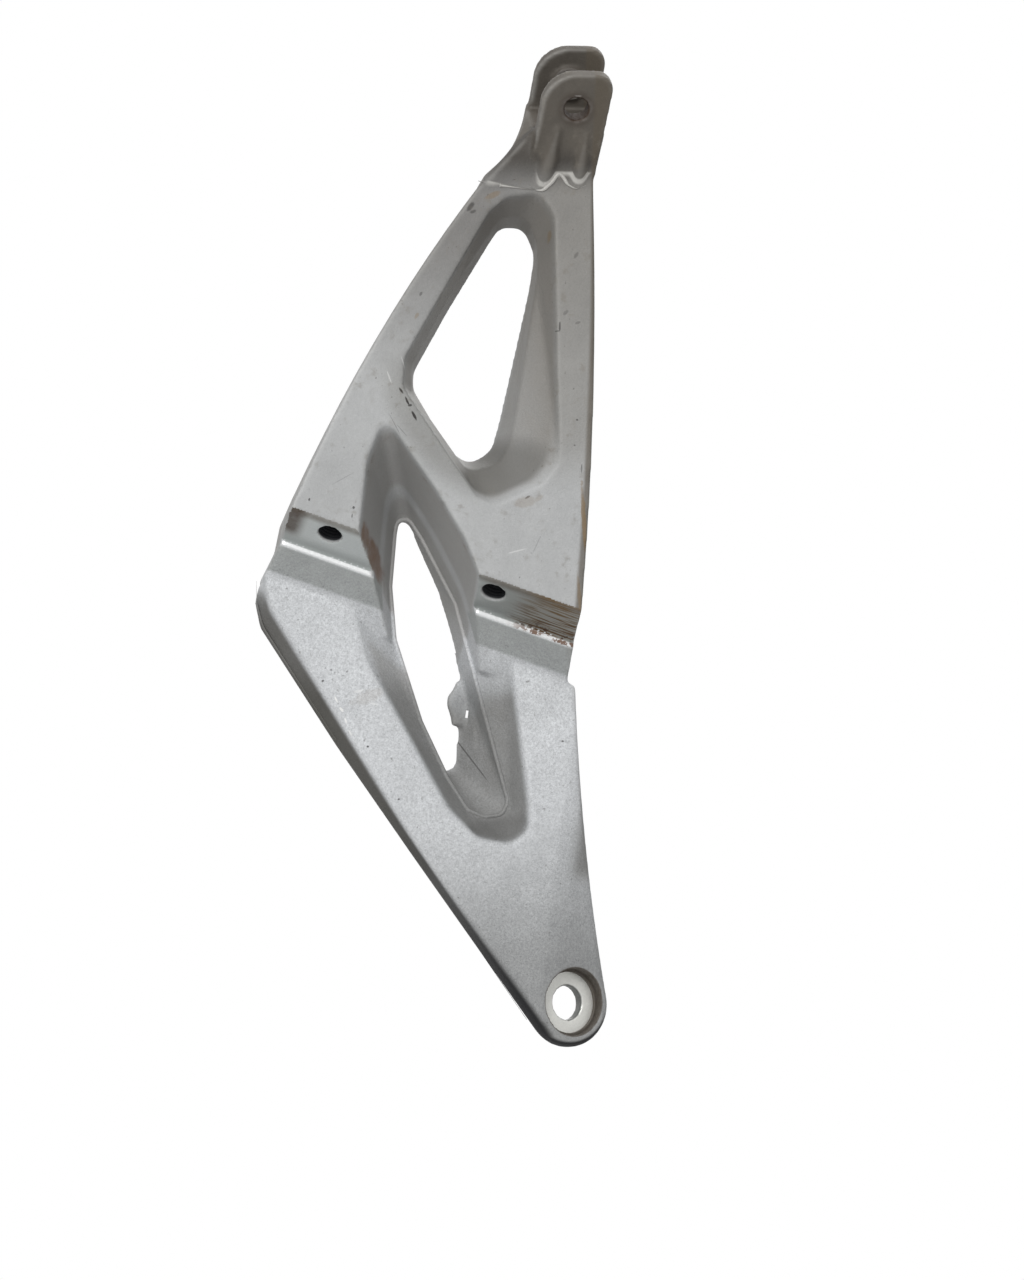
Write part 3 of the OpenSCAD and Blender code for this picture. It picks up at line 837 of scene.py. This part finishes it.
class HANGER_OT_stage(bpy.types.Operator):
    """Build the floor, the lamps, the white surroundings and the camera"""

    bl_idname = "hanger.stage"
    bl_label = "Stage"

    def execute(self, context):
        stage = context.scene.hanger_stage
        self.floor(stage)
        self.lamps()
        self.surroundings(context.scene)
        self.camera(context.scene, stage)
        context.scene.view_settings.view_transform = "Standard"
        return {"FINISHED"}

    def floor(self, stage):
        bm = bmesh.new()
        bmesh.ops.create_circle(bm, cap_ends=True, radius=9.0, segments=96)
        bmesh.ops.translate(bm, verts=bm.verts, vec=(0, 0, -stage.floor_drop))
        floor = new_object("floor", mesh_from(bm, "floor"))
        make = Finish("pale_floor")
        shader = make.node("ShaderNodeBsdfPrincipled", inputs={"Base Color": (0.86, 0.86, 0.86, 1), "Roughness": 0.9})
        output = make.node("ShaderNodeOutputMaterial")
        make.feed(output.inputs["Surface"], shader.outputs[0])
        floor.data.materials.append(make.material)

    def lamps(self):
        for name, spot, size, power in (
            ("key", (-0.62, -1.7, 1.05), 0.8, 26),
            ("top", (0.1, -0.3, 1.9), 0.8, 7),
            ("back", (0.5, 1.6, 1.2), 1.2, 12),
        ):
            lamp = bpy.data.lights.new(name, "AREA")
            lamp.shape, lamp.size, lamp.energy = "SQUARE", size, power
            made = new_object(name, lamp)
            made.location = spot
            aim = Vector((-0.04, 0, 0.15)) - Vector(spot)
            made.rotation_mode = "QUATERNION"
            made.rotation_quaternion = aim.to_track_quat("-Z", "Y")

    def surroundings(self, scene):
        world = bpy.data.worlds.new("surroundings")
        scene.world = world
        world.use_nodes = True
        tree = world.node_tree
        tree.nodes.clear()
        path = tree.nodes.new("ShaderNodeLightPath")
        seen = tree.nodes.new("ShaderNodeMath")
        seen.operation = "MAXIMUM"
        tree.links.new(path.outputs["Is Camera Ray"], seen.inputs[0])
        tree.links.new(path.outputs["Is Glossy Ray"], seen.inputs[1])
        either = tree.nodes.new("ShaderNodeMath")
        either.operation = "MAXIMUM"
        tree.links.new(seen.outputs[0], either.inputs[0])
        tree.links.new(path.outputs["Is Transmission Ray"], either.inputs[1])
        white, soft = tree.nodes.new("ShaderNodeBackground"), tree.nodes.new("ShaderNodeBackground")
        white.inputs["Color"].default_value, white.inputs["Strength"].default_value = (1, 1, 1, 1), 1.0
        soft.inputs["Color"].default_value, soft.inputs["Strength"].default_value = (1, 1, 1, 1), 0.22
        mix = tree.nodes.new("ShaderNodeMixShader")
        tree.links.new(either.outputs[0], mix.inputs[0])
        tree.links.new(soft.outputs[0], mix.inputs[1])
        tree.links.new(white.outputs[0], mix.inputs[2])
        output = tree.nodes.new("ShaderNodeOutputWorld")
        tree.links.new(mix.outputs[0], output.inputs["Surface"])

    def camera(self, scene, stage):
        """Looks along the photograph's view: 3 pixels to the millimetre in a frame of 1024 by 1280."""
        yaw, pitch = stage.yaw, stage.pitch
        back = Vector((-math.sin(yaw) * math.cos(pitch), -math.cos(yaw) * math.cos(pitch), -math.sin(pitch)))
        right = Vector((math.cos(yaw), -math.sin(yaw), 0))
        up = back.cross(right)
        tall = 1.280 / 3
        middle = right * ((512 - 568) / 3000) + up * ((1005.5 - 640) / 3000) + back * 0.02
        data = bpy.data.cameras.new("camera")
        data.sensor_fit, data.sensor_width = "AUTO", 36.0
        data.lens = 36.0 * stage.distance / tall
        data.clip_end = 50.0
        made = new_object("camera", data)
        made.location = middle + back * stage.distance
        made.rotation_mode = "QUATERNION"
        made.rotation_quaternion = Matrix((right, up, back)).transposed().to_quaternion()
        scene.camera = made


class HANGER_PT_panel(bpy.types.Panel):
    bl_label = "Footrest hanger"
    bl_idname = "HANGER_PT_panel"
    bl_space_type = "VIEW_3D"
    bl_region_type = "UI"
    bl_category = "Hanger"

    def draw(self, context):
        for group, operator in (("hanger_casting", "hanger.casting"), ("hanger_stage", "hanger.stage")):
            settings = getattr(context.scene, group)
            box = self.layout.box()
            for name in settings.bl_rna.properties.keys():
                if name not in ("rna_type", "name"):
                    box.prop(settings, name)
            box.operator(operator)


CLASSES = (HangerCasting, HangerStage, HANGER_OT_casting, HANGER_OT_stage, HANGER_PT_panel)


def register():
    for made in CLASSES:
        bpy.utils.register_class(made)
    bpy.types.Scene.hanger_casting = bpy.props.PointerProperty(type=HangerCasting)
    bpy.types.Scene.hanger_stage = bpy.props.PointerProperty(type=HangerStage)


def unregister():
    del bpy.types.Scene.hanger_casting
    del bpy.types.Scene.hanger_stage
    for made in reversed(CLASSES):
        bpy.utils.unregister_class(made)


def main():
    register()
    bpy.ops.hanger.casting()
    bpy.ops.hanger.stage()


if __name__ == "__main__":
    main()
